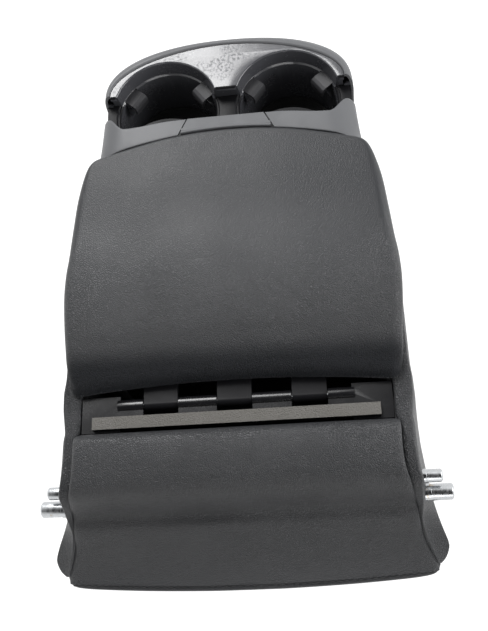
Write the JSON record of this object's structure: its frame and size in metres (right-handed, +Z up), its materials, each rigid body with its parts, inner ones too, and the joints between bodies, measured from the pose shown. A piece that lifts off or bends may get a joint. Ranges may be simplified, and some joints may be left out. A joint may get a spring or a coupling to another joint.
{
  "type": "rear seat armrest with cup holder",
  "caption": "Folding rear armrest in dark grey grained leather with a storage lid and a pull-out gloss black cup holder, shown part-way open",
  "frame": {"origin": "centre of the footprint, on the plane the leather underside rests on, drawer part-way open", "axes": "+X across the width, +Y from the pivot shafts to the cup holder, +Z up out of the lid"},
  "size_m": [0.302, 0.431, 0.105],
  "materials": {
    "frame_plastic": "moulded black, fine sheen",
    "zinc_steel": "zinc-plated pressed sheet",
    "shaft_steel": "zinc-plated, turned",
    "spring_steel": "dark spring wire and strip",
    "bush_plastic": "natural low-friction plastic",
    "screw_steel": "zinc-plated",
    "black_screw": "black-coated",
    "textured_grey": "coarse grained grey on the bar, black beside the hinge",
    "tray_plastic": "fine grained black",
    "mat_rubber": "ribbed, matt",
    "soft_grey": "soft-touch grey paint",
    "black_plastic": "smooth black",
    "leather": "grained dark grey, stitched seams",
    "gloss_black": "high gloss black",
    "tab_plastic": "dark grey, smooth"
  },
  "bodies": {
    "base": {"base_frame": "frame_plastic", "pivot_bracket": "zinc_steel", "pivot_shaft": "shaft_steel", "stop_shaft": "shaft_steel", "shaft_clips": "spring_steel", "shaft_bushes": "bush_plastic", "bracket_screws": "screw_steel", "rear_panel": "textured_grey", "hinge_pin": "shaft_steel", "storage_tray": "tray_plastic", "tray_mat": "mat_rubber", "tray_screws": "black_screw", "front_collar": "soft_grey", "bridge_plate": "black_plastic", "bridge_screws": "black_screw", "rail_left": "zinc_steel", "rail_right": "zinc_steel", "rail_screws": "screw_steel", "detent_clip": "spring_steel", "rear_pad": "leather", "side_pad_left": "leather", "side_pad_right": "leather", "under_pad": "leather", "latch_pin": "shaft_steel", "latch_spring": "spring_steel"},
    "lid": {"lid_panel": "black_plastic", "lid_pad": "leather", "lid_catch": "zinc_steel", "catch_screws": "screw_steel", "lid_buffers": "mat_rubber"},
    "latch": {"latch_lever": "soft_grey"},
    "drawer": {"drawer_chassis": "black_plastic", "cup_insert": "gloss_black", "drawer_fascia": "soft_grey", "cup_mat_left": "mat_rubber", "cup_mat_right": "mat_rubber", "insert_screws": "black_screw", "glide_pads": "bush_plastic", "tab_pins": "shaft_steel", "tab_springs": "spring_steel"},
    "tab_left_outer": {"tab_left_outer": "tab_plastic"},
    "tab_left_inner": {"tab_left_inner": "tab_plastic"},
    "tab_left_rear": {"tab_left_rear": "tab_plastic"},
    "tab_right_outer": {"tab_right_outer": "tab_plastic"},
    "tab_right_inner": {"tab_right_inner": "tab_plastic"},
    "tab_right_rear": {"tab_right_rear": "tab_plastic"}
  },
  "joints": [
    {"name": "lid_hinge", "type": "hinge", "parent": "base", "child": "lid", "pos_m": [0, -0.0945, 0.08], "axis": [1, 0, 0], "range_deg": [0, 86]},
    {"name": "latch_lift", "type": "hinge", "parent": "base", "child": "latch", "pos_m": [0, 0.1235, 0.095], "axis": [1, 0, 0], "range_deg": [0, 14], "stiffness_Nm_per_rad": 0.02, "springref_deg": -11.46},
    {"name": "drawer_slide", "type": "slide", "parent": "base", "child": "drawer", "axis": [0, 1, 0], "range_m": [-0.016, 0.034]},
    {"name": "tab_left_outer_fold", "type": "hinge", "parent": "drawer", "child": "tab_left_outer", "pos_m": [-0.08445, 0.17489, 0.0795], "axis": [0.5878, 0.809, 0], "range_deg": [0, 60], "stiffness_Nm_per_rad": 0.004, "springref_deg": -17.19},
    {"name": "tab_left_inner_fold", "type": "hinge", "parent": "drawer", "child": "tab_left_inner", "pos_m": [-0.01455, 0.17489, 0.0795], "axis": [0.5878, -0.809, 0], "range_deg": [0, 60], "stiffness_Nm_per_rad": 0.004, "springref_deg": -17.19},
    {"name": "tab_left_rear_fold", "type": "hinge", "parent": "drawer", "child": "tab_left_rear", "pos_m": [-0.0495, 0.1063, 0.0795], "axis": [-1, 0, 0], "range_deg": [0, 60], "stiffness_Nm_per_rad": 0.004, "springref_deg": -17.19},
    {"name": "tab_right_outer_fold", "type": "hinge", "parent": "drawer", "child": "tab_right_outer", "pos_m": [0.08445, 0.17489, 0.0795], "axis": [0.5878, -0.809, 0], "range_deg": [0, 60], "stiffness_Nm_per_rad": 0.004, "springref_deg": -17.19},
    {"name": "tab_right_inner_fold", "type": "hinge", "parent": "drawer", "child": "tab_right_inner", "pos_m": [0.01455, 0.17489, 0.0795], "axis": [0.5878, 0.809, 0], "range_deg": [0, 60], "stiffness_Nm_per_rad": 0.004, "springref_deg": -17.19},
    {"name": "tab_right_rear_fold", "type": "hinge", "parent": "drawer", "child": "tab_right_rear", "pos_m": [0.0495, 0.1063, 0.0795], "axis": [-1, 0, 0], "range_deg": [0, 60], "stiffness_Nm_per_rad": 0.004, "springref_deg": -17.19}
  ]
}
